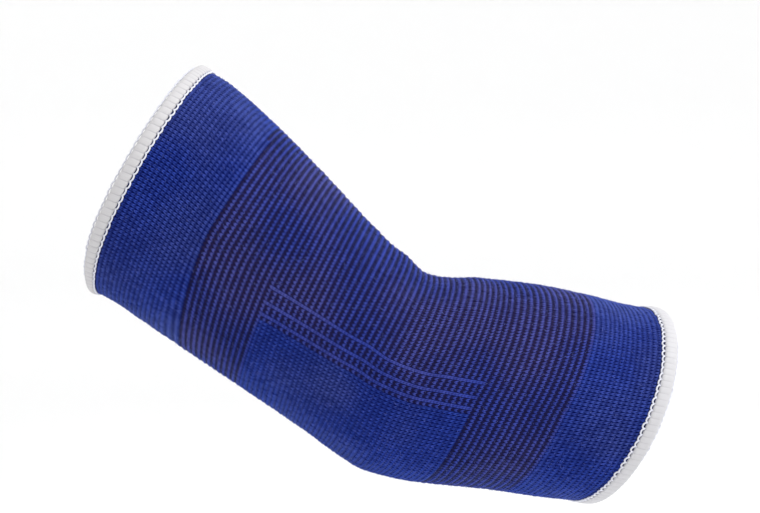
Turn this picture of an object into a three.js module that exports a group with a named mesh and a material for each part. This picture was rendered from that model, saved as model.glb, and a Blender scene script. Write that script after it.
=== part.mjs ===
// Knitted elbow sleeve with a white overlocked edging at both ends, in the bent shape it has when worn.
// Millimetres, +Z up. The view from -Y shows the upper arm end on the left and the forearm end on the right.
// The origin is the centre of the elbow, inside the hollow sleeve.
import * as THREE from 'three';

// Sizes of the whole sleeve
const SLEEVE_LENGTH = 209;
const SLEEVE_WIDTH = 92;
const UPPER_SLOPE = 38.5;
const ELBOW_BEND = 29;
const FOREARM_SWING = 13;
const BEND_START = 0.36;
const BEND_END = 0.76;
const ELBOW_SHARE = 0.557;

// Sizes of the cloth and of the edging
const KNIT_WALL = 1.6;
const HEM_WIDTH = 5.6;
const HEM_THREAD = 0.9;
const HEM_PINCH = 0.3;
const HEM_GAP = 0.3;
const PINCH_SLOPE = 1.0;

// How finely the curved walls are cut
const RINGS = 34;
const AROUND = 40;
const LINE_STEPS = 400;

// Cross sections from the upper opening to the lower one.
// knit: share of the knitted rows, along: share of the sleeve length, lean: degrees the section tips,
// crook, elbow, depth: reach toward the crook, toward the elbow and sideways, as shares of half the width.
const SECTIONS = [
  { knit: 0.000, along: 0.003, lean: 9.5, crook: 1.00, elbow: 1.00, depth: 0.95 },
  { knit: 0.082, along: 0.064, lean: 9, crook: 1.03, elbow: 0.96, depth: 0.94 },
  { knit: 0.206, along: 0.175, lean: 7, crook: 0.99, elbow: 0.92, depth: 0.92 },
  { knit: 0.309, along: 0.279, lean: 11, crook: 0.95, elbow: 0.89, depth: 0.89 },
  { knit: 0.412, along: 0.399, lean: 13, crook: 0.88, elbow: 0.85, depth: 0.87 },
  { knit: 0.474, along: 0.464, lean: 7, crook: 0.82, elbow: 0.84, depth: 0.85 },
  { knit: 0.515, along: 0.494, lean: 4, crook: 0.81, elbow: 0.85, depth: 0.84 },
  { knit: 0.557, along: 0.531, lean: -1, crook: 0.76, elbow: 0.87, depth: 0.84 },
  { knit: 0.608, along: 0.582, lean: -6, crook: 0.81, elbow: 0.91, depth: 0.85 },
  { knit: 0.670, along: 0.624, lean: -12, crook: 0.89, elbow: 0.92, depth: 0.86 },
  { knit: 0.753, along: 0.727, lean: -20, crook: 0.95, elbow: 0.91, depth: 0.88 },
  { knit: 0.835, along: 0.829, lean: -20, crook: 0.93, elbow: 0.89, depth: 0.87 },
  { knit: 0.918, along: 0.918, lean: -15, crook: 0.88, elbow: 0.87, depth: 0.85 },
  { knit: 1.000, along: 1.000, lean: -13, crook: 0.87, elbow: 0.85, depth: 0.84 },
];

// Smooth value of one column of the section table at a share of the knitted rows.
function sectionValue(column, knit) {
  const last = SECTIONS.length - 1;
  let i = 0;
  while (i < last - 1 && knit > SECTIONS[i + 1].knit) {
    i += 1;
  }
  const a = SECTIONS[i];
  const b = SECTIONS[i + 1];
  const width = b.knit - a.knit;
  const t = (knit - a.knit) / width;
  const before = SECTIONS[Math.max(i - 1, 0)];
  const after = SECTIONS[Math.min(i + 2, last)];
  const slopeA = (b[column] - before[column]) / (b.knit - before.knit) * width;
  const slopeB = (after[column] - a[column]) / (after.knit - a.knit) * width;
  const t2 = t * t;
  const t3 = t2 * t;
  return a[column] * (2 * t3 - 3 * t2 + 1) + slopeA * (t3 - 2 * t2 + t)
    + b[column] * (3 * t2 - 2 * t3) + slopeB * (t3 - t2);
}

// Share of the bend already turned at a share of the sleeve length.
function turned(along) {
  const t = Math.min(Math.max((along - BEND_START) / (BEND_END - BEND_START), 0), 1);
  return t * t * (3 - 2 * t);
}

// Direction of the arm at a share of the sleeve length: downward slope and backward swing, in radians.
function heading(along) {
  const share = turned(along);
  return {
    slope: (UPPER_SLOPE - ELBOW_BEND * share) * Math.PI / 180,
    swing: FOREARM_SWING * share * Math.PI / 180,
  };
}

// The middle line of the arm, walked in short steps and moved so that the elbow is the origin.
function walkMiddleLine() {
  const points = [new THREE.Vector3(0, 0, 0)];
  const step = SLEEVE_LENGTH / LINE_STEPS;
  for (let i = 0; i < LINE_STEPS; i += 1) {
    const h = heading((i + 0.5) / LINE_STEPS);
    const ahead = new THREE.Vector3(
      Math.cos(h.slope) * Math.cos(h.swing),
      Math.sin(h.swing),
      -Math.sin(h.slope) * Math.cos(h.swing),
    );
    points.push(points[i].clone().addScaledVector(ahead, step));
  }
  const start = new THREE.Vector3();
  const exact = ELBOW_SHARE * LINE_STEPS;
  const low = Math.floor(exact);
  start.lerpVectors(points[low], points[low + 1], exact - low);
  return points.map((point) => point.sub(start));
}

const MIDDLE_LINE = walkMiddleLine();

function middlePoint(along) {
  const exact = Math.min(Math.max(along, 0), 1) * LINE_STEPS;
  const low = Math.min(Math.floor(exact), LINE_STEPS - 1);
  return new THREE.Vector3().lerpVectors(MIDDLE_LINE[low], MIDDLE_LINE[low + 1], exact - low);
}

// Point of the outer face of the knit at a share of the rows and an angle counted from the crook.
function knitPoint(knit, angle) {
  const along = sectionValue('along', knit);
  const h = heading(along);
  const tip = h.slope - sectionValue('lean', knit) * Math.PI / 180;
  const toCrook = new THREE.Vector3(Math.sin(tip), 0, Math.cos(tip));
  const toSide = new THREE.Vector3(
    Math.sin(h.swing) * Math.cos(tip),
    -Math.cos(h.swing),
    -Math.sin(h.swing) * Math.sin(tip),
  );
  const half = SLEEVE_WIDTH / 2;
  const crook = sectionValue('crook', knit) * half;
  const elbow = sectionValue('elbow', knit) * half;
  const depth = sectionValue('depth', knit) * half;
  const point = middlePoint(along);
  point.addScaledVector(toCrook, (crook - elbow) / 2 + Math.cos(angle) * (crook + elbow) / 2);
  point.addScaledVector(toSide, Math.sin(angle) * depth);
  return point;
}

// Direction along the rows' stack and outward direction of the knit at a place.
function knitFrame(knit, angle) {
  const d = 0.002;
  const low = Math.max(knit - d, 0);
  const high = Math.min(knit + d, 1);
  const ahead = knitPoint(high, angle).sub(knitPoint(low, angle)).normalize();
  const around = knitPoint(knit, angle + 0.01).sub(knitPoint(knit, angle - 0.01));
  const out = new THREE.Vector3().crossVectors(around, ahead).normalize();
  return { ahead, out };
}

// Point moved out of the outer face of the knit, which may lie a little past either edge.
function wallPoint(knit, angle, out) {
  const inside = Math.min(Math.max(knit, 0), 1);
  const point = knitPoint(inside, angle);
  const frame = knitFrame(inside, angle);
  point.addScaledVector(frame.ahead, (knit - inside) * SLEEVE_LENGTH);
  point.addScaledVector(frame.out, out);
  return point;
}

// Closed skin over loops of points: each loop is one turn round the arm, the last joins the first.
function skinOfLoops(loops) {
  const positions = [];
  for (const loop of loops) {
    for (const point of loop) {
      positions.push(point.x, point.y, point.z);
    }
  }
  const index = [];
  for (let i = 0; i < loops.length; i += 1) {
    const next = (i + 1) % loops.length;
    for (let j = 0; j < AROUND; j += 1) {
      const side = (j + 1) % AROUND;
      const a = i * AROUND + j;
      const b = next * AROUND + j;
      const c = next * AROUND + side;
      const d = i * AROUND + side;
      index.push(a, d, c, a, c, b);
    }
  }
  const geometry = new THREE.BufferGeometry();
  geometry.setAttribute('position', new THREE.Float32BufferAttribute(positions, 3));
  geometry.setIndex(index);
  geometry.computeVertexNormals();
  return geometry;
}

function loopAt(knit, out) {
  const loop = [];
  for (let j = 0; j < AROUND; j += 1) {
    loop.push(wallPoint(knit, 2 * Math.PI * j / AROUND, out));
  }
  return loop;
}

// Rows of the knitted tube: even steps between the edgings, a thinner lip under each edging.
function knitRows() {
  const lip = (HEM_WIDTH - PINCH_SLOPE) / SLEEVE_LENGTH;
  const full = HEM_WIDTH / SLEEVE_LENGTH + PINCH_SLOPE / SLEEVE_LENGTH;
  const rows = [{ knit: 0, pinch: HEM_PINCH }, { knit: lip, pinch: HEM_PINCH }];
  for (let i = 0; i <= RINGS; i += 1) {
    rows.push({ knit: full + (1 - 2 * full) * i / RINGS, pinch: 0 });
  }
  rows.push({ knit: 1 - lip, pinch: HEM_PINCH });
  rows.push({ knit: 1, pinch: HEM_PINCH });
  return rows;
}

function knitSleeve() {
  const rows = knitRows();
  const loops = rows.map((row) => loopAt(row.knit, -row.pinch));
  for (const row of rows.slice().reverse()) {
    loops.push(loopAt(row.knit, -KNIT_WALL + row.pinch));
  }
  return skinOfLoops(loops);
}

// Edging cut across: a rounded channel of thread round the lip of the knit.
// in: mm from the edge of the knit into the sleeve, out: mm out of the outer face of the knit.
function hemProfile() {
  const outerGap = HEM_GAP - HEM_PINCH;
  const innerGap = -KNIT_WALL + HEM_PINCH - HEM_GAP;
  const outside = outerGap + HEM_THREAD;
  const inside = innerGap - HEM_THREAD;
  const leg = HEM_WIDTH - PINCH_SLOPE - HEM_GAP;
  const nose = HEM_GAP + HEM_THREAD;
  const round = HEM_THREAD * 0.6;
  return [
    { in: leg, out: outerGap },
    { in: leg, out: outerGap + HEM_THREAD * 0.5 },
    { in: leg - round, out: outside - HEM_THREAD * 0.1 },
    { in: leg / 2, out: outside },
    { in: 0, out: outside - HEM_THREAD * 0.1 },
    { in: -nose * 0.75, out: outside - HEM_THREAD * 0.8 },
    { in: -nose, out: (outside + inside) / 2 },
    { in: -nose * 0.75, out: inside + HEM_THREAD * 0.8 },
    { in: 0, out: inside + HEM_THREAD * 0.1 },
    { in: leg / 2, out: inside },
    { in: leg - round, out: inside + HEM_THREAD * 0.1 },
    { in: leg, out: innerGap - HEM_THREAD * 0.5 },
    { in: leg, out: innerGap },
    { in: -HEM_GAP, out: innerGap },
    { in: -HEM_GAP, out: outerGap },
  ];
}

// The edging of the upper end follows the profile as written, the lower end takes it the other way round.
function hem(lower) {
  const profile = hemProfile();
  if (lower) {
    profile.reverse();
  }
  const loops = profile.map((corner) => {
    const share = corner.in / SLEEVE_LENGTH;
    return loopAt(lower ? 1 - share : share, corner.out);
  });
  return skinOfLoops(loops.reverse());
}

function named(name, geometry, colour) {
  const material = new THREE.MeshStandardMaterial({ color: colour, roughness: 0.9, metalness: 0 });
  const mesh = new THREE.Mesh(geometry, material);
  mesh.name = name;
  return mesh;
}

const part = new THREE.Group();
part.name = 'elbow_sleeve';
part.add(named('knit_sleeve', knitSleeve(), 0x28346e));
part.add(named('upper_hem', hem(false), 0xdedde0));
part.add(named('lower_hem', hem(true), 0xdedde0));

export default part;
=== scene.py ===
"""Looks of a worn knitted elbow sleeve: stitch relief, striped yarns, elbow patch and edgings."""
import math

import bpy
import numpy as np
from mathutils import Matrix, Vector


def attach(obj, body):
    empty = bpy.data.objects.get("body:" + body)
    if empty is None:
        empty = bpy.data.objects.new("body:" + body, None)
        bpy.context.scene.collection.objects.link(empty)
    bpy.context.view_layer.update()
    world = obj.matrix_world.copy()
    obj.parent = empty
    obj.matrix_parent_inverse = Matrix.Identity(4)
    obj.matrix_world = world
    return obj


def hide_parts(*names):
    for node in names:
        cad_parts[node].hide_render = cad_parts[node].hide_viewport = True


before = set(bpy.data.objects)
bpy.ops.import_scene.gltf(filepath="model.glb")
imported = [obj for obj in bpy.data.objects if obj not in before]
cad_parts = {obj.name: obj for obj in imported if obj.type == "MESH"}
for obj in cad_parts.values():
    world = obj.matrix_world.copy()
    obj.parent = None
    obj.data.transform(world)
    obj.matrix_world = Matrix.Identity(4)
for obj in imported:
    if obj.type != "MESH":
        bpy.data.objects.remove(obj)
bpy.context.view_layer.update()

MM = 0.001

# Sizes of the sleeve in metres, the same as in the CAD part
SLEEVE_LENGTH = 0.209
SLEEVE_WIDTH = 0.092
UPPER_SLOPE = math.radians(38.5)
ELBOW_BEND = math.radians(29)
FOREARM_SWING = math.radians(13)
BEND_START = 0.36
BEND_END = 0.76
ELBOW_SHARE = 0.557
KNIT_WALL = 0.0016
HEM_WIDTH = 0.0056
HEM_PINCH = 0.0003
PINCH_SLOPE = 0.001
LINE_STEPS = 400

# The edges are drawn in a little where they grip the arm, in metres, over TUCK_REACH of the rows. The upper
# tuck gathers on the elbow side
UPPER_TUCK = 0.0045
LOWER_TUCK = 0.0009
TUCK_REACH = 0.12
TUCK_GATHER = 4

# The same cross sections as in the CAD part, one column after another
SECTIONS = {
    "knit": (0, .082, .206, .309, .412, .474, .515, .557, .608, .670, .753, .835, .918, 1),
    "along": (.003, .064, .175, .279, .399, .464, .494, .531, .582, .624, .727, .829, .918, 1),
    "lean": (9.5, 9, 7, 11, 13, 7, 4, -1, -6, -12, -20, -20, -15, -13),
    "crook": (1, 1.03, .99, .95, .88, .82, .81, .76, .81, .89, .95, .93, .88, .87),
    "elbow": (1, .96, .92, .89, .85, .84, .85, .87, .91, .92, .91, .89, .87, .85),
    "depth": (.95, .94, .92, .89, .87, .85, .84, .84, .85, .86, .88, .87, .85, .84),
}

# Steps that give the directions along the knit, as a share of the rows, and round it, in radians
ALONG_STEP = 0.002
ROUND_STEP = 0.01

# Steps that measure the length of the front
FRONT_STEPS = 1000

# The knit: stitch columns round the arm, called wales, pattern rows along it, and grid lines in a wale
WALES = 184
ROWS = 97
WALE_LINES = 4

# The stripes, as rows. On the front the first one ends FIRST_REACH wales past the crook
FIRST_STRIPE = 19
LAST_STRIPE = 81
FIRST_REACH = 14

# The elbow patch: its rows, the wale where it starts on either side of the crook, the courses of stitches
# in it, and the rib lines beside it
PATCH_START = 32
PATCH_END = 68
PATCH_WALE = 54
PATCH_COURSES = 44
RIB_LINES = (45, 49, 52)

# How far a row swings within each wale to make the V of a stitch, in rows. It fades out over the last
# EDGE_ROWS rows at either edge
STRIPE_ZIGZAG = 0.36
PLAIN_ZIGZAG = 0.80
EDGE_ROWS = 2

# Where the rows lie along the front of the sleeve, as shares of its length there
ROW_PLACE = {"row": (0, 20, 32, 68, 81, 97), "front": (0, 0.1643, 0.2974, 0.682, 0.8359, 1)}

# How the rows slip at the crook and sag at the elbow, in rows, and how the wales turn, in degrees
ROW_LIFT = {"row": (0, 20, 32, 45, 57, 66, 76, 84, 97), "lift": (0, 0, -0.3, -0.6, -0.9, -0.1, 0.5, 0.5, 0)}
ROW_SAG = {"row": (0, 10, 20, 33, 50, 69, 80, 90, 97), "sag": (0, 1.6, 3.6, 1.0, 1.5, 2.7, 2.8, 1.2, 0)}
WALE_TURN = {"row": (0, 32, 38, 46, 54, 68, 97), "turn": (3, 3.5, 0.6, -3.0, -6.0, -7.4, -5.5)}

# How closely the slip gathers at the crook, and the sag at the elbow
SLIP_GATHER = 1.3

# Margins of the map that holds the baked patterns, at the sides and at the ends of a strip
MAP_SIDE = 0.01
MAP_END = 0.03


def section_value(column, knit):
    """Smooth value of one column of the section table at shares of the knitted rows."""
    x = np.array(SECTIONS["knit"], float)
    y = np.array(SECTIONS[column], float)
    before = np.maximum(np.arange(len(x)) - 1, 0)
    after = np.minimum(np.arange(len(x)) + 1, len(x) - 1)
    slope = (y[after] - y[before]) / (x[after] - x[before])
    i = np.clip(np.searchsorted(x, knit, side="right") - 1, 0, len(x) - 2)
    width = x[i + 1] - x[i]
    t = (knit - x[i]) / width
    return (y[i] * (2 * t**3 - 3 * t**2 + 1) + slope[i] * width * (t**3 - 2 * t**2 + t)
            + y[i + 1] * (3 * t**2 - 2 * t**3) + slope[i + 1] * width * (t**3 - t**2))


def heading(along):
    """Downward slope and backward swing of the arm at a share of the sleeve length."""
    t = np.clip((along - BEND_START) / (BEND_END - BEND_START), 0, 1)
    share = t * t * (3 - 2 * t)
    return UPPER_SLOPE - ELBOW_BEND * share, FOREARM_SWING * share


def middle_line():
    """Middle line of the arm in equal steps, with the elbow at the origin."""
    slope, swing = heading((np.arange(LINE_STEPS) + 0.5) / LINE_STEPS)
    ahead = np.stack([np.cos(slope) * np.cos(swing), np.sin(swing), -np.sin(slope) * np.cos(swing)], 1)
    line = np.vstack([np.zeros((1, 3)), np.cumsum(ahead * (SLEEVE_LENGTH / LINE_STEPS), axis=0)])
    elbow = [np.interp(ELBOW_SHARE * LINE_STEPS, np.arange(LINE_STEPS + 1), line[:, k]) for k in range(3)]
    return line - np.array(elbow)


MIDDLE_LINE = middle_line()


def middle_point(along):
    """Point of the middle line at a share of the sleeve length."""
    place = np.clip(along, 0, 1) * LINE_STEPS
    steps = np.arange(LINE_STEPS + 1)
    return np.stack([np.interp(place, steps, MIDDLE_LINE[:, k]) for k in range(3)], -1)


def tuck(knit, angle):
    """How far the two edges are drawn in, as a share of the sleeve length."""
    elbow_side = np.clip(-np.cos(angle), 0, 1) ** TUCK_GATHER
    upper = np.clip(1 - knit / TUCK_REACH, 0, 1) ** 2 * elbow_side
    lower = np.clip(1 - (1 - knit) / TUCK_REACH, 0, 1) ** 2
    return (UPPER_TUCK * upper - LOWER_TUCK * lower) / SLEEVE_LENGTH


def knit_point(knit, angle):
    """Points of the outer face of the knit, at shares of the rows and angles counted from the crook."""
    along = section_value("along", knit) + tuck(knit, angle)
    slope, swing = heading(along)
    tip = slope - np.radians(section_value("lean", knit))
    to_crook = np.stack([np.sin(tip), 0 * tip, np.cos(tip)], -1)
    to_side = np.stack([np.sin(swing) * np.cos(tip), -np.cos(swing), -np.sin(swing) * np.sin(tip)], -1)
    half = SLEEVE_WIDTH / 2
    crook = section_value("crook", knit) * half
    elbow = section_value("elbow", knit) * half
    depth = section_value("depth", knit) * half
    across = (crook - elbow) / 2 + np.cos(angle) * (crook + elbow) / 2
    return middle_point(along) + to_crook * across[..., None] + to_side * (np.sin(angle) * depth)[..., None]


def unit(v):
    return v / np.linalg.norm(v, axis=-1, keepdims=True)


def knit_frame(knit, angle):
    """Unit directions along the arm and out of the knit."""
    after = knit_point(np.clip(knit + ALONG_STEP, 0, 1), angle)
    before = knit_point(np.clip(knit - ALONG_STEP, 0, 1), angle)
    ahead = unit(after - before)
    around = knit_point(knit, angle + ROUND_STEP) - knit_point(knit, angle - ROUND_STEP)
    return ahead, unit(np.cross(around, ahead))


def wall_point(knit, angle, out):
    """Points moved out of the outer face by a distance; a share past either edge runs straight on."""
    knit, angle, out = np.broadcast_arrays(*(np.asarray(value, float) for value in (knit, angle, out)))
    inside = np.clip(knit, 0, 1)
    ahead, outward = knit_frame(inside, angle)
    point = knit_point(inside, angle) + ahead * ((knit - inside) * SLEEVE_LENGTH)[..., None]
    return point + outward * out[..., None]


def front_line():
    """Shares of the rows, and how far along the front of the sleeve each one lies."""
    knit = np.linspace(0, 1, FRONT_STEPS + 1)
    line = knit_point(knit, np.full(len(knit), math.pi / 2))
    length = np.concatenate([[0], np.cumsum(np.linalg.norm(np.diff(line, axis=0), axis=1))])
    return knit, length / length[-1]


KNIT_AT, FRONT_AT = front_line()


def stitch_place(row, wale):
    """Share of the knit and angle on the sleeve of a place counted in rows and wales."""
    angle = 2 * math.pi * wale / WALES
    turn = np.radians(np.interp(row, WALE_TURN["row"], WALE_TURN["turn"]))
    angle = angle + turn * np.sin(angle)
    at_elbow = np.clip(-np.cos(angle), 0, 1) ** SLIP_GATHER
    at_crook = np.clip(np.cos(angle), 0, 1) ** SLIP_GATHER
    sag = np.interp(row, ROW_SAG["row"], ROW_SAG["sag"]) * at_elbow
    lift = np.interp(row, ROW_LIFT["row"], ROW_LIFT["lift"]) * at_crook
    front = np.interp(np.clip(row + sag - lift, 0, ROWS), ROW_PLACE["row"], ROW_PLACE["front"])
    return np.interp(front, FRONT_AT, KNIT_AT), angle


def pinch(knit):
    """How far the outer face is drawn in under the edgings."""
    edge = np.minimum(knit, 1 - knit) * SLEEVE_LENGTH
    low = HEM_WIDTH - PINCH_SLOPE
    return HEM_PINCH * (1 - np.clip((edge - low) / (2 * PINCH_SLOPE), 0, 1))


def add_uv(mesh, name, u, v):
    layer = mesh.uv_layers.new(name=name)
    layer.data.foreach_set("uv", np.stack([u, v], -1).astype(np.float32).ravel())


def make_mesh(name, points, closed, stitch, strips, materials, face_material, inward=False):
    """Mesh over a grid of points, rows by columns.

    stitch holds the row and wale of each grid line. The map of the piece is cut into as many strips as
    strips says, one above the other, and inward turns the faces over.
    """
    rows, columns = points.shape[:2]
    across = columns if closed else columns - 1
    r, c = np.meshgrid(np.arange(rows - 1), np.arange(across), indexing="ij")
    r = r.ravel()
    c = c.ravel()
    corner_r = np.stack([r, r, r + 1, r + 1], 1)
    corner_c = np.stack([c, c + 1, c + 1, c], 1)
    if inward:
        corner_r = corner_r[:, ::-1]
        corner_c = corner_c[:, ::-1]
    faces = corner_r * columns + corner_c % columns
    mesh = bpy.data.meshes.new(name)
    mesh.vertices.add(rows * columns)
    mesh.vertices.foreach_set("co", points.reshape(-1, 3).astype(np.float32).ravel())
    mesh.loops.add(len(faces) * 4)
    mesh.loops.foreach_set("vertex_index", faces.astype(np.int32).ravel())
    mesh.polygons.add(len(faces))
    mesh.polygons.foreach_set("loop_start", np.arange(0, len(faces) * 4, 4, dtype=np.int32))
    mesh.polygons.foreach_set("loop_total", np.full(len(faces), 4, dtype=np.int32))
    for material in materials:
        mesh.materials.append(material)
    mesh.polygons.foreach_set("material_index", face_material(r, c).astype(np.int32))
    mesh.update(calc_edges=True)
    mesh.polygons.foreach_set("use_smooth", np.ones(len(faces), dtype=bool))
    row_at, wale_at = stitch
    add_uv(mesh, "stitch", wale_at[corner_c], row_at[corner_r])
    per_strip = math.ceil(across / strips)
    strip = (c // per_strip)[:, None]
    u = MAP_SIDE + (1 - 2 * MAP_SIDE) * (corner_c - strip * per_strip) / per_strip
    v = (strip + MAP_END + (1 - 2 * MAP_END) * corner_r / (rows - 1)) / strips
    add_uv(mesh, "OFBake", u, v)
    mesh.validate()
    return show(name, mesh)


def show(name, data):
    """New object in the scene that holds a mesh, a light or a camera."""
    obj = bpy.data.objects.new(name, data)
    bpy.context.scene.collection.objects.link(obj)
    return obj


def keep(obj, node):
    """Let a piece ride on the sleeve in place of a CAD node."""
    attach(obj, "root")
    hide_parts(node)


class Nodes:
    """Short ways to add shader nodes to one material."""

    def __init__(self, name):
        self.material = bpy.data.materials.new(name)
        self.material.use_nodes = True
        self.tree = self.material.node_tree
        self.shader = self.tree.nodes["Principled BSDF"]

    def add(self, kind, **settings):
        node = self.tree.nodes.new(kind)
        for key, value in settings.items():
            setattr(node, key, value)
        return node

    def link(self, source, target):
        self.tree.links.new(source, target)

    def put(self, value, socket):
        if isinstance(value, (int, float)):
            socket.default_value = value
        elif isinstance(value, tuple):
            socket.default_value = value if len(value) == len(socket.default_value) else (*value, 1)
        else:
            self.link(value, socket)

    def finish(self, values):
        """Put values or outputs into inputs of the shader, by name, and give back the material."""
        for name, value in values.items():
            self.put(value, self.shader.inputs[name])
        return self.material

    def math(self, operation, a, b=0.0, c=0.0):
        node = self.add("ShaderNodeMath", operation=operation)
        for value, socket in zip((a, b, c), node.inputs):
            self.put(value, socket)
        return node.outputs[0]

    def ramp(self, value, low, high, start=0.0, end=1.0):
        """Smooth step of a value: start at low, end at high."""
        node = self.add("ShaderNodeMapRange", interpolation_type="SMOOTHSTEP")
        for number, socket in zip((low, high, start, end), node.inputs[1:5]):
            socket.default_value = number
        self.link(value, node.inputs[0])
        return node.outputs[0]

    def mix(self, factor, a, b):
        """Colour between a and b, which are the sockets 6 and 7 of the node."""
        node = self.add("ShaderNodeMix", data_type="RGBA")
        self.put(factor, node.inputs[0])
        self.put(a, node.inputs[6])
        self.put(b, node.inputs[7])
        return node.outputs[2]

    def noise(self, vector, scale, detail, roughness=0.5):
        node = self.add("ShaderNodeTexNoise")
        self.link(vector, node.inputs["Vector"])
        node.inputs["Scale"].default_value = scale
        node.inputs["Detail"].default_value = detail
        node.inputs["Roughness"].default_value = roughness
        return node.outputs["Fac"]

    def fibres(self, uv, cells, scale, roughness):
        """Fine noise drawn out along a yarn, with cells (across, along) in one stitch."""
        stretch = self.add("ShaderNodeMapping")
        stretch.inputs["Scale"].default_value = (*cells, 1.0)
        self.link(uv, stretch.inputs["Vector"])
        return self.noise(stretch.outputs[0], scale, 3.0, roughness)

    def bump(self, height, strength, distance):
        node = self.add("ShaderNodeBump")
        node.inputs["Strength"].default_value = strength
        node.inputs["Distance"].default_value = distance
        self.link(height, node.inputs["Height"])
        return node.outputs[0]

    def stitch_map(self):
        """The stitch map and its two parts: wales or stitches, and rows or the share round a thread."""
        uv = self.add("ShaderNodeUVMap", uv_map="stitch").outputs[0]
        split = self.add("ShaderNodeSeparateXYZ")
        self.link(uv, split.inputs[0])
        return uv, split.outputs[0], split.outputs[1]


def from_edge(n, value):
    """0 at either end of 0..1, 0.5 in the middle."""
    return n.math("MINIMUM", value, n.math("SUBTRACT", 1.0, value))


def per_stitch(n, wale, row):
    """A different shade for each stitch."""
    cell = n.add("ShaderNodeCombineXYZ")
    n.link(n.math("FLOOR", wale), cell.inputs[0])
    n.link(n.math("FLOOR", row), cell.inputs[1])
    white = n.add("ShaderNodeTexWhiteNoise", noise_dimensions="2D")
    n.link(cell.outputs[0], white.inputs["Vector"])
    return white.outputs["Value"]


# How much is left of the painted shade line between the legs where they meet, and of the painted shade in a
# pit in the middle of a wale
CLOSED_LEGS = 0.35
MIDDLE_PIT = 0.45


def stitch_light(n, across, down, gap, pit, crease):
    """Painted shade of a stitch, as a share of full light: 1 on the legs, less beside it, above and below
    it and between its legs.

    gap, pit and crease are (width, depth) of the lines of painted shade along the wales, between the rows
    and between the two legs.
    """
    gap_lit = n.ramp(from_edge(n, across), 0.0, gap[0], 1.0 - gap[1], 1.0)
    from_middle = n.math("ABSOLUTE", n.math("SUBTRACT", across, 0.5))
    open_top = n.ramp(down, 0.45, 0.95, 1.0, CLOSED_LEGS)
    between_legs = n.math("MULTIPLY", n.ramp(from_middle, 0.0, crease[0], crease[1], 0.0), open_top)
    legs_lit = n.math("SUBTRACT", 1.0, between_legs)
    pit_share = n.ramp(from_edge(n, across), 0.10, 0.50, pit[1], MIDDLE_PIT * pit[1])
    in_pit = n.math("MULTIPLY", n.ramp(from_edge(n, down), 0.0, pit[0], 1.0, 0.0), pit_share)
    return n.math("MULTIPLY", n.math("MULTIPLY", gap_lit, legs_lit), n.math("SUBTRACT", 1.0, in_pit))


# Shade of the yarn: the least shade of one stitch and how much is added at most, then the (least, most)
# shade over broad areas and over the fibres
STITCH_SHADE = (0.76, 0.45)
BROAD_SHADE = (0.85, 1.12)
FIBRE_SHADE = (0.75, 1.15)

# Patches in which the shade and the tone drift, a metre
SHADE_PATCHES = 55.0
TONE_PATCHES = 28.0

# The tone drifts between these two, as shares of red, green and blue
CLEAR_TONE = (0.65, 0.85, 1.10)
DUSTY_TONE = (1.20, 1.10, 0.97)

# Fibres of a yarn in one stitch, across and along
YARN_FIBRES = (2.0, 9.0)

YARN_FINISH = {
    "Specular IOR Level": 0.04,
    "Sheen Weight": 0.42,
    "Sheen Roughness": 0.28,
    "Sheen Tint": (0.36, 0.48, 1.0),
}


def tinted(colour, tone):
    return tuple(value * share for value, share in zip(colour, tone))


def yarn_material(name, light, painted_shade, courses, gap, pit, crease):
    """Elastic knit yarn: bright legs, painted shade in the gaps between wales and rows and between the
    legs, fine twisted fibres.
    """
    n = Nodes(name)
    uv, wale, row = n.stitch_map()
    course = n.math("MULTIPLY", row, float(courses))
    lit = stitch_light(n, n.math("FRACT", wale), n.math("FRACT", course), gap, pit, crease)
    fibre = n.fibres(uv, (YARN_FIBRES[0], YARN_FIBRES[1] * courses), 1.6, 0.65)
    place = n.add("ShaderNodeTexCoord").outputs["Object"]
    shade = n.math("MULTIPLY_ADD", per_stitch(n, wale, course), STITCH_SHADE[1], STITCH_SHADE[0])
    shade = n.math("MULTIPLY", shade, n.ramp(n.noise(place, SHADE_PATCHES, 2.0), 0.3, 0.7, *BROAD_SHADE))
    lit = n.math("MULTIPLY", lit, n.ramp(fibre, 0.25, 0.75, *FIBRE_SHADE))
    lit = n.math("MULTIPLY", lit, shade)
    drift = n.ramp(n.noise(place, TONE_PATCHES, 1.0), 0.35, 0.65)
    tone = n.mix(drift, tinted(light, CLEAR_TONE), tinted(light, DUSTY_TONE))
    height = n.math("ADD", lit, n.math("MULTIPLY", fibre, 0.35))
    return n.finish({
        # The colour runs from the yarn's tone on the lit legs to the colour of painted shade in the gaps,
        # pits and between the legs
        "Base Color": n.mix(lit, painted_shade, tone),
        "Roughness": n.ramp(fibre, 0.2, 0.8, 0.95, 0.72),
        "Normal": n.bump(height, 0.6, 0.25 * MM),
        **YARN_FINISH,
    })


# Fibres of the overlock thread in one stitch, across and along
BAND_FIBRES = (9.0, 3.0)
LOOP_FIBRES = (4.0, 2.0)

# Width of the painted shade in the creases between two stitches of thread, as a share of a stitch
CREASE_WIDTH = 0.12

THREAD_FINISH = {
    "Specular IOR Level": 0.35,
    "Sheen Weight": 0.15,
    "Sheen Tint": (0.9, 0.92, 1.0),
}


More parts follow.
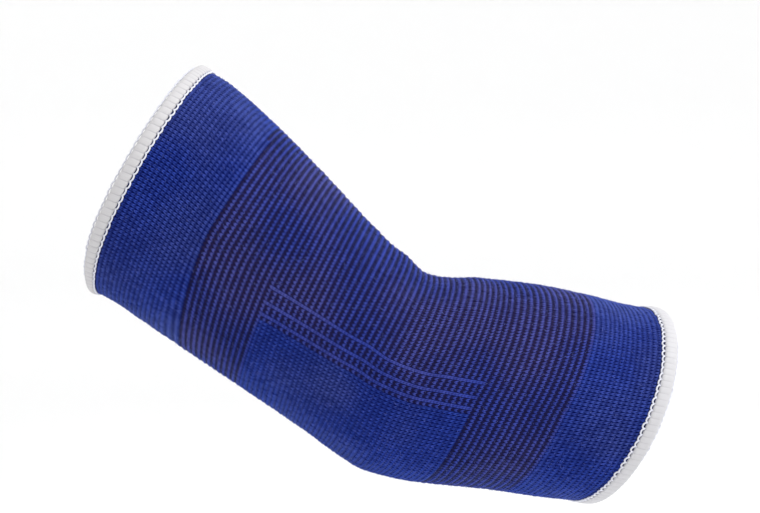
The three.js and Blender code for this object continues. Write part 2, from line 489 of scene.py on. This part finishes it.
def thread_material(name, light, painted_shade, cells):
    """Bulky white overlock thread: satin filaments along it, and painted shade in the creases between
    stitches that fades toward the free edge.
    """
    n = Nodes(name)
    uv, stitch, share = n.stitch_map()
    fibre = n.fibres(uv, cells, 1.0, 0.6)
    crease = n.ramp(from_edge(n, n.math("FRACT", stitch)), 0.0, CREASE_WIDTH)
    outside = n.ramp(share, 0.05, 0.42, 1.0, 0.15)
    reach = n.math("MAXIMUM", outside, n.ramp(share, 0.60, 0.90, 0.0, 0.9))
    lit = n.math("SUBTRACT", 1.0, n.math("MULTIPLY", n.math("SUBTRACT", 1.0, crease), reach))
    lit = n.math("MULTIPLY", lit, n.ramp(fibre, 0.3, 0.7, 0.86, 1.0))
    return n.finish({
        # The colour runs from the thread's light colour to the colour of painted shade in the creases
        "Base Color": n.mix(lit, painted_shade, light),
        "Roughness": n.ramp(fibre, 0.2, 0.8, 0.8, 0.5),
        "Normal": n.bump(fibre, 0.4, 0.1 * MM),
        **THREAD_FINISH,
    })


def fuzz_material(name, colour):
    """Loose ends of fine fibre, one even colour, soft and dull."""
    return Nodes(name).finish({
        "Base Color": colour,
        "Roughness": 0.9,
        "Specular IOR Level": 0.1,
        "Sheen Weight": 0.3,
    })


# Yarns: their light colour and the colour of their painted shade, the courses of stitches in a pattern row,
# and their lines of painted shade
YARNS = {
    "blue_plain_yarn": {
        "light": (0.056, 0.095, 0.455), "painted_shade": (0.0003, 0.002, 0.060),
        "courses": 1, "gap": (0.30, 0.90), "pit": (0.50, 1.00), "crease": (0.20, 0.90),
    },
    "blue_stripe_yarn": {
        "light": (0.074, 0.090, 0.40), "painted_shade": (0.004, 0.007, 0.070),
        "courses": 2, "gap": (0.30, 0.95), "pit": (0.34, 0.60), "crease": (0.18, 0.85),
    },
    "navy_yarn": {
        "light": (0.019, 0.014, 0.062), "painted_shade": (0.005, 0.005, 0.024),
        "courses": 2, "gap": (0.30, 0.80), "pit": (0.34, 0.60), "crease": (0.18, 0.75),
    },
    "blue_reverse_yarn": {
        "light": (0.022, 0.040, 0.25), "painted_shade": (0.001, 0.004, 0.050),
        "courses": 2, "gap": (0.20, 0.60), "pit": (0.30, 0.50), "crease": (0.12, 0.20),
    },
}
blue_plain, blue_stripe, navy, blue_reverse = [yarn_material(name, **yarn) for name, yarn in YARNS.items()]

# Threads: their light colour and the colour of the painted shade in their creases, and their fibres. The
# loops are of a brighter thread
THREADS = {
    "white_overlock_upper": {
        "light": (0.56, 0.55, 0.56), "painted_shade": (0.36, 0.35, 0.38), "cells": BAND_FIBRES,
    },
    "white_overlock_lower": {
        "light": (0.55, 0.545, 0.565), "painted_shade": (0.44, 0.435, 0.46), "cells": BAND_FIBRES,
    },
    "white_loop_thread": {
        "light": (0.76, 0.77, 0.84), "painted_shade": (0.58, 0.59, 0.66), "cells": LOOP_FIBRES,
    },
}
white_upper, white_lower, white_loop = [thread_material(name, **thread) for name, thread in THREADS.items()]

fuzz_light = fuzz_material("fuzz_light", (0.13, 0.18, 0.60))
fuzz_deep = fuzz_material("fuzz_deep", (0.05, 0.08, 0.38))

# Relief of one stitch in millimetres: place along the course, then the gap, a leg and the middle of a wale
PLAIN_RELIEF = (
    (0.00, -0.52, -0.24, -0.48),
    (0.30, -0.52, -0.03, -0.36),
    (0.55, -0.52, 0.05, -0.22),
    (0.80, -0.52, -0.05, -0.22),
)
STRIPE_RELIEF = (
    (0.00, -0.38, -0.34, -0.38),
    (0.17, -0.40, -0.24, -0.32),
    (0.33, -0.40, -0.26, -0.33),
    (0.50, -0.36, -0.24, -0.30),
    (0.67, -0.26, 0.03, -0.10),
    (0.84, -0.28, 0.00, -0.16),
)
RIB_RELIEF = (
    (0.00, -0.38, -0.12, -0.24),
    (0.17, -0.38, 0.02, -0.12),
    (0.33, -0.38, 0.08, -0.06),
    (0.50, -0.38, 0.08, -0.04),
    (0.67, -0.38, 0.06, -0.08),
    (0.84, -0.38, -0.02, -0.16),
)

# Relief in millimetres where two pieces of knit meet: along a row, gap to leg, and along a wale
SEAM_RELIEF = (-0.38, -0.28, -0.36, -0.28)
SIDE_RELIEF = -0.38

# Spread in how high the stitches stand, in metres
STITCH_UNEVEN = 0.00006

# Spread in the slow swelling of the knit, in metres, and the grid lines from one swelling to the next
SWELL = 0.00003
SWELL_LINES = 6
SWELL_COLUMNS = 4


def relief_grid(table, courses, wales):
    """Relief in metres over the grid lines, plus the course of each line."""
    steps = [step[0] for step in table]
    lines = np.array([course + step for course in range(courses) for step in steps] + [float(courses)])
    pattern = np.array([[gap, leg, middle, leg] for _, gap, leg, middle in table])
    down = np.vstack([np.tile(pattern, (courses, 1)), pattern[:1]])
    return lines, np.tile(down, (1, wales)) * MM


def swelling(lines, columns, seed):
    """Slow, uneven swelling of the knit, none at the borders of a piece, so that its neighbour meets it."""
    rng = np.random.default_rng(seed)
    coarse = rng.normal(0, 1, (len(lines) // SWELL_LINES + 2, columns // SWELL_COLUMNS + 2))
    coarse[:1] = 0
    coarse[-2:] = 0
    coarse[:, :1] = 0
    coarse[:, -2:] = 0
    rows = np.linspace(0, coarse.shape[0] - 1.001, len(lines))
    cols = np.linspace(0, coarse.shape[1] - 1.001, columns)
    r0 = rows.astype(int)[:, None]
    c0 = cols.astype(int)[None, :]
    fr = rows[:, None] - r0
    fc = cols[None, :] - c0
    top = coarse[r0, c0] * (1 - fc) + coarse[r0, c0 + 1] * fc
    low = coarse[r0 + 1, c0] * (1 - fc) + coarse[r0 + 1, c0 + 1] * fc
    return (top * (1 - fr) + low * fr) * SWELL


def stitch_relief(table, rows, wales, courses, ribs):
    """Course of each grid line of a piece, and its relief: stitches, ribs, swelling and borders.

    The seeds come from the row and the wale where the piece starts, so each piece is uneven in its own way.
    """
    count = wales[1] - wales[0]
    course_at, height = relief_grid(table, courses, count)
    for wale in ribs:
        at = (wale - wales[0]) * WALE_LINES
        height[:, at:at + WALE_LINES] = relief_grid(RIB_RELIEF, courses, 1)[1]
    height = height + swelling(course_at, height.shape[1], rows[0] + wales[0] + WALES)
    rng = np.random.default_rng(rows[0] + wales[0] + 2 * WALES)
    uneven = rng.normal(0, STITCH_UNEVEN, (courses, count))
    height[:-1] += np.repeat(np.repeat(uneven, len(table), 0), WALE_LINES, 1)
    height[[0, -1]] = np.tile(SEAM_RELIEF, count) * MM
    if count < WALES:
        height = np.hstack([height, height[:, :1]])
        height[:, [0, -1]] = SIDE_RELIEF * MM
    return course_at, height


def knit_piece(name, table, rows, wales, strips, materials, paint, zigzag, courses=0, ribs=()):
    """One stretch of knit. rows and wales are (first, past the last); courses are its rows of stitches."""
    courses = courses or rows[1] - rows[0]
    count = wales[1] - wales[0]
    closed = count == WALES
    course_at, height = stitch_relief(table, rows, wales, courses, ribs)
    wale_at = wales[0] + np.arange(count * WALE_LINES + 1) / WALE_LINES
    columns = wale_at[:-1] if closed else wale_at
    lines = rows[0] + course_at * (rows[1] - rows[0]) / courses
    to_border = np.minimum(course_at, courses - course_at)
    reach = STRIPE_ZIGZAG + (zigzag - STRIPE_ZIGZAG) * np.clip(to_border, 0, 1)
    reach = reach * np.clip(np.minimum(lines, ROWS - lines) / EDGE_ROWS, 0, 1)
    swing = 2 * np.abs(columns - np.floor(columns) - 0.5) - 0.5
    row_grid = lines[:, None] + reach[:, None] * swing[None, :]
    knit, angle = stitch_place(row_grid, np.broadcast_to(columns[None, :], row_grid.shape))
    points = wall_point(knit, angle, height - pinch(knit))
    steps = len(table)

    def face_material(r, c):
        return paint(r // steps + rows[0], (r % steps) / steps, c // WALE_LINES + wales[0])

    return make_mesh(name, points, closed, (course_at, wale_at), strips, materials, face_material)


def paint_plain(row, part, wale):
    return np.zeros(len(row))


def paint_stripes(row, part, wale):
    """Navy (1) in the first half of each row, blue (0) in the rest and the ribs, plain (2) at the start."""
    wale = wale % WALES
    mirrored = np.minimum(wale, WALES - 1 - wale)
    beside_patch = (row >= PATCH_START) & (row < PATCH_END)
    rib = np.isin(mirrored, RIB_LINES) & beside_patch
    colour = np.where((part < 0.5) & ~rib, 1, 0)
    from_crook = np.where(wale > WALES / 2, wale - WALES, wale)
    return np.where((row == FIRST_STRIPE) & (from_crook > FIRST_REACH), 2, colour)


def plain_knit(name, rows, wales, strips, courses=0):
    obj = knit_piece(name, PLAIN_RELIEF, rows, wales, strips, [blue_plain], paint_plain, PLAIN_ZIGZAG,
                     courses=courses)
    keep(obj, "knit_sleeve")


def striped_knit(name, rows, wales, strips, materials, ribs=()):
    obj = knit_piece(name, STRIPE_RELIEF, rows, wales, strips, materials, paint_stripes, STRIPE_ZIGZAG,
                     ribs=ribs)
    keep(obj, "knit_sleeve")


ALL_WALES = (0, WALES)
BESIDE_CROOK = (-PATCH_WALE, PATCH_WALE)
BEHIND_CROOK = (PATCH_WALE, WALES - PATCH_WALE)
RIB_WALES = RIB_LINES + tuple(-1 - line for line in RIB_LINES)

STRIPE_YARNS = [blue_stripe, navy]
START_YARNS = [blue_stripe, navy, blue_plain]

plain_knit("knit_upper_band", (0, FIRST_STRIPE), ALL_WALES, 3)
striped_knit("knit_upper_stripes", (FIRST_STRIPE, PATCH_START), ALL_WALES, 4, START_YARNS)
striped_knit("knit_crook_stripes", (PATCH_START, PATCH_END), BESIDE_CROOK, 2, STRIPE_YARNS, RIB_WALES)
plain_knit("knit_elbow_patch", (PATCH_START, PATCH_END), BEHIND_CROOK, 2, PATCH_COURSES)
striped_knit("knit_lower_stripes", (PATCH_END, LAST_STRIPE), ALL_WALES, 4, STRIPE_YARNS)
plain_knit("knit_lower_band", (LAST_STRIPE, ROWS), ALL_WALES, 3)

# Depth of the hollows between two cross bumps on the reverse, in metres
REVERSE_HOLLOW = 0.00014


def knit_inside():
    """The reverse of the knit: low cross bumps, two lines a row and one column a wale."""
    lines = np.arange(2 * ROWS + 1) / 2
    row_grid, wale_grid = np.meshgrid(lines, np.arange(WALES) * 1.0, indexing="ij")
    hollow = np.where(np.arange(len(lines)) % 2 == 1, REVERSE_HOLLOW, 0.0)[:, None]
    knit, angle = stitch_place(row_grid, wale_grid)
    points = wall_point(knit, angle, pinch(knit) - KNIT_WALL - hollow)
    wale_at = np.arange(WALES + 1) * 1.0

    def paint(r, c):
        row = r // 2
        striped = (row >= FIRST_STRIPE) & (row < LAST_STRIPE)
        wale = np.minimum(c, WALES - 1 - c)
        patch = (row >= PATCH_START) & (row < PATCH_END) & (wale >= PATCH_WALE)
        return np.where(striped & ~patch & (r % 2 == 0), 1, 0)

    materials = [blue_reverse, navy]
    return make_mesh("knit_inside", points, True, (lines, wale_at), 1, materials, paint, inward=True)


keep(knit_inside(), "knit_sleeve")

# Fuzz: how many loose fibre ends, how far they stand out, how thick they are at the root and how deep the
# root lies, in metres
FUZZ_SEED = 5
FUZZ_ENDS = 12000
FUZZ_REACH = (0.00020, 0.00090)
FUZZ_THICK = 0.00010
FUZZ_DEPTH = 0.00020

# Rows at either edge without fuzz, and how far a fibre leans along the rows and across the wales
FUZZ_MARGIN = 3
FUZZ_LEAN = (0.25, 0.35)

# Faces of one spike, with three corners round the root and then the tip
SPIKE_FACES = ((0, 2, 1), (0, 1, 3), (1, 2, 3), (2, 0, 3))


def knit_fuzz():
    """Loose fibre ends all over the outer face, each one a thin closed spike that leans its own way."""
    rng = np.random.default_rng(FUZZ_SEED)
    row = rng.uniform(FUZZ_MARGIN, ROWS - FUZZ_MARGIN, FUZZ_ENDS)
    wale = rng.uniform(0, WALES, FUZZ_ENDS)
    root = wall_point(*stitch_place(row, wale), -FUZZ_DEPTH)
    tip_row = row + rng.normal(0, FUZZ_LEAN[0], FUZZ_ENDS)
    tip_wale = wale + rng.normal(0, FUZZ_LEAN[1], FUZZ_ENDS)
    tip = wall_point(*stitch_place(tip_row, tip_wale), rng.uniform(*FUZZ_REACH, FUZZ_ENDS))
    ahead = unit(tip - root)
    side = unit(np.cross(ahead, rng.normal(0, 1, (FUZZ_ENDS, 3))))
    other = np.cross(ahead, side)
    corners = []
    for angle in (0, 2 * math.pi / 3, 4 * math.pi / 3):
        corners.append(root + (side * math.cos(angle) + other * math.sin(angle)) * FUZZ_THICK / 2)
    points = np.stack([*corners, tip], 1).reshape(-1, 3)
    first = np.arange(FUZZ_ENDS)[:, None, None] * 4
    faces = (first + np.array(SPIKE_FACES)).reshape(-1, 3)
    mesh = bpy.data.meshes.new("knit_fuzz")
    mesh.from_pydata(points.tolist(), [], faces.tolist())
    mesh.materials.append(fuzz_light)
    mesh.materials.append(fuzz_deep)
    colour = np.repeat(rng.integers(0, 2, FUZZ_ENDS), len(SPIKE_FACES))
    mesh.polygons.foreach_set("material_index", colour.astype(np.int32))
    return show("knit_fuzz", mesh)


keep(knit_fuzz(), "knit_sleeve")

# Overlock stitches in one edging, and the seeds of the upper one's uneven stitches and loops. The lower one
# takes the next number
HEM_STITCHES = 104
BAND_SEED = 11
KNIT_LOOP_SEED = 21
SKIN_LOOP_SEED = 31

# The roll of thread, in metres: its middle and half its size along the arm and out of the knit
ROLL_MIDDLE_IN = 0.0016
ROLL_HALF_IN = 0.0028
ROLL_MIDDLE_OUT = -0.0008
ROLL_HALF_OUT = 0.0017

# Its cross section: squareness, lines round it, how they gather at its corners, and the angle left open on
# either side of the knit
ROLL_SQUARE = 0.55
ROLL_LINES = 26
ROLL_GATHER = 0.10
ROLL_OPEN = 0.19

# Its stitches: lines in each, roundness, how their fullness differs, and how far they slant, in stitches
BAND_STEPS = 8
BAND_ROUND = 0.55
BAND_UNEVEN = 0.25
BAND_SLANT = 0.55

# Depth of the creases in millimetres, round the roll from the knit over the free edge to the skin side
CREASES = {"share": (0, 0.12, 0.30, 0.5, 0.75, 1), "depth": (0.32, 0.26, 0.19, 0.12, 0.15, 0.2)}

# The looped threads: half their thickness, steps in a stitch, sides, roundness of a loop, how its reach
# differs, and how far its feet draw together
LOOP_RADIUS = 0.00033
LOOP_STEPS = 10
LOOP_SIDES = 6
LOOP_ROUND = 0.7
LOOP_UNEVEN = 0.14
LOOP_FEET = 0.09

# Where the loops lie, in metres: their feet and their reach inward from the edge, and their height
KNIT_LOOPS = {"feet": 0.00420, "out": 0.00022, "lift": 0.00006}
SKIN_LOOPS = {"feet": -0.00120, "reach": -0.00070, "out": -0.00120, "lift": 0.0}

# The two edgings: thread, fullness of the stitches and reach of the loops over the knit
HEMS = {
    "upper": {"lower": False, "thread": white_upper, "fullness": 1.0, "reach": 0.00115},
    "lower": {"lower": True, "thread": white_lower, "fullness": 0.6, "reach": 0.00125},
}


def hem_share(lower, inward):
    """Share of the rows at a distance inward from the edge of the knit."""
    share = inward / SLEEVE_LENGTH
    return 1 - share if lower else share


def rounded(value, power):
    return np.sign(value) * np.abs(value) ** power


def paint_thread(r, c):
    return np.zeros(len(r))


def hem_band(name, lower, material, fullness):
    """Roll of bulky thread: pillowed stitches, with creases that fade toward the free edge."""
    turn = np.linspace(ROLL_OPEN, 2 * math.pi - ROLL_OPEN, ROLL_LINES)
    turn = turn - ROLL_GATHER * np.sin(2 * turn)
    share = np.linspace(0, 1, ROLL_LINES)
    stitch = np.arange(HEM_STITCHES * BAND_STEPS) / BAND_STEPS
    depth = np.interp(share, CREASES["share"], CREASES["depth"]) * MM
    rng = np.random.default_rng(BAND_SEED + lower)
    plump = 1 + BAND_UNEVEN * rng.normal(0, 1, HEM_STITCHES)[np.floor(stitch).astype(int)]
    pillow = (np.abs(np.sin(math.pi * stitch)) ** BAND_ROUND - 1) * plump
    relief = fullness * depth[:, None] * pillow[None, :]
    inward = ROLL_MIDDLE_IN + (ROLL_HALF_IN + relief) * rounded(np.cos(turn), ROLL_SQUARE)[:, None]
    out = ROLL_MIDDLE_OUT + (ROLL_HALF_OUT + relief) * rounded(np.sin(turn), ROLL_SQUARE)[:, None]
    slant = BAND_SLANT * np.interp(share, (0, 0.5, 1), (0, 1, 0))
    angle = 2 * math.pi * (stitch[None, :] + slant[:, None]) / HEM_STITCHES
    points = wall_point(hem_share(lower, inward), angle, out)
    stitch_at = np.arange(HEM_STITCHES * BAND_STEPS + 1) / BAND_STEPS
    return make_mesh(name, points, True, (share, stitch_at), 2, [material], paint_thread, inward=lower)


def hem_loops(name, lower, seed, feet, reach, out, lift):
    """One thread that swings out in a small arc at every stitch, as a thin tube."""
    stitch = np.arange(HEM_STITCHES * LOOP_STEPS) / LOOP_STEPS
    rng = np.random.default_rng(seed)
    uneven = 1 + LOOP_UNEVEN * rng.normal(0, 1, HEM_STITCHES)[np.floor(stitch).astype(int)]
    arc = np.abs(np.sin(math.pi * stitch)) ** LOOP_ROUND
    angle = 2 * math.pi * (stitch - LOOP_FEET * np.sin(2 * math.pi * stitch)) / HEM_STITCHES
    share = hem_share(lower, feet + reach * arc * uneven)
    line = wall_point(share, angle, out + lift * arc)
    ahead = unit(np.roll(line, -1, 0) - np.roll(line, 1, 0))
    outward = knit_frame(np.clip(share, 0, 1), angle)[1]
    side = unit(np.cross(ahead, outward))
    outward = np.cross(side, ahead)
    around = 2 * math.pi * np.arange(LOOP_SIDES + 1) / LOOP_SIDES
    spokes = np.cos(around)[:, None, None] * outward[None] + np.sin(around)[:, None, None] * side[None]
    points = line[None] + LOOP_RADIUS * spokes
    stitch_at = np.arange(HEM_STITCHES * LOOP_STEPS + 1) / LOOP_STEPS
    share_at = np.arange(LOOP_SIDES + 1) / LOOP_SIDES
    return make_mesh(name, points, True, (share_at, stitch_at), 4, [white_loop], paint_thread)


for end, hem in HEMS.items():
    node = end + "_hem"
    lower = hem["lower"]
    keep(hem_band(node + "_band", lower, hem["thread"], hem["fullness"]), node)
    knit_loops = {"reach": hem["reach"], **KNIT_LOOPS}
    keep(hem_loops(node + "_knit_loops", lower, KNIT_LOOP_SEED + lower, **knit_loops), node)
    keep(hem_loops(node + "_skin_loops", lower, SKIN_LOOP_SEED + lower, **SKIN_LOOPS), node)

# Pale floor that curves up all round: its height, sides and the rise of each ring, in metres
FLOOR_Z = -0.16
FLOOR_SIDES = 96
FLOOR_PROFILE = {"radius": (0.9, 1.2, 1.45, 1.62, 1.7, 1.72), "rise": (0.0, 0.03, 0.16, 0.42, 0.8, 1.4)}


def pale_floor():
    vertices = []
    for radius, rise in zip(FLOOR_PROFILE["radius"], FLOOR_PROFILE["rise"]):
        for k in range(FLOOR_SIDES):
            angle = 2 * math.pi * k / FLOOR_SIDES
            vertices.append((radius * math.cos(angle), radius * math.sin(angle), FLOOR_Z + rise))
    faces = [tuple(range(FLOOR_SIDES))]
    for ring in range(len(FLOOR_PROFILE["radius"]) - 1):
        low = ring * FLOOR_SIDES
        high = low + FLOOR_SIDES
        for k in range(FLOOR_SIDES):
            k2 = (k + 1) % FLOOR_SIDES
            faces.append((low + k, high + k, high + k2, low + k2))
    mesh = bpy.data.meshes.new("floor")
    mesh.from_pydata(vertices, [], faces)
    mesh.polygons.foreach_set("use_smooth", [True] * len(mesh.polygons))
    mesh.materials.append(Nodes("pale_floor").finish({"Base Color": (0.93, 0.93, 0.93), "Roughness": 0.9}))
    return show("floor", mesh)


pale_floor()

# Studio lights: places in metres and watts. Both are discs that face the elbow
LIGHT_SIZE = 0.5
LIGHTS = {
    "key": {"place": (0.62, -0.55, 0.78), "power": 3.2},
    "top": {"place": (0.75, -0.05, 0.80), "power": 4.8},
}
WORLD_LIGHT = 0.97


def area_light(name, place, power):
    light = bpy.data.lights.new(name, "AREA")
    light.shape = "DISK"
    light.size = LIGHT_SIZE
    light.energy = power
    obj = show(name, light)
    obj.location = place
    obj.rotation_euler = (-Vector(place)).to_track_quat("-Z", "Y").to_euler()


for name, settings in LIGHTS.items():
    area_light(name, **settings)

world = bpy.data.worlds.new("studio")
bpy.context.scene.world = world
world.use_nodes = True
world.node_tree.nodes["Background"].inputs["Color"].default_value = (1, 1, 1, 1)
world.node_tree.nodes["Background"].inputs["Strength"].default_value = WORLD_LIGHT
bpy.context.scene.view_settings.view_transform = "Standard"

# Camera of the photograph, level and square to the plane in which the arm bends: the picture's width in
# pixels, the metres that a pixel covers at the elbow, the camera's distance and place, and its sensor in mm
PICTURE_WIDTH = 760
PIXEL = 0.000375
CAMERA_AWAY = 0.560
CAMERA_ACROSS = -0.00496
CAMERA_HEIGHT = 0.03891
SENSOR = 36.0

camera_data = bpy.data.cameras.new("camera")
camera_data.sensor_width = SENSOR
camera_data.lens = SENSOR * CAMERA_AWAY / (PICTURE_WIDTH * PIXEL)
camera = show("camera", camera_data)
camera.location = (CAMERA_ACROSS, -CAMERA_AWAY, CAMERA_HEIGHT)
camera.rotation_euler = (math.pi / 2, 0, 0)
bpy.context.scene.camera = camera
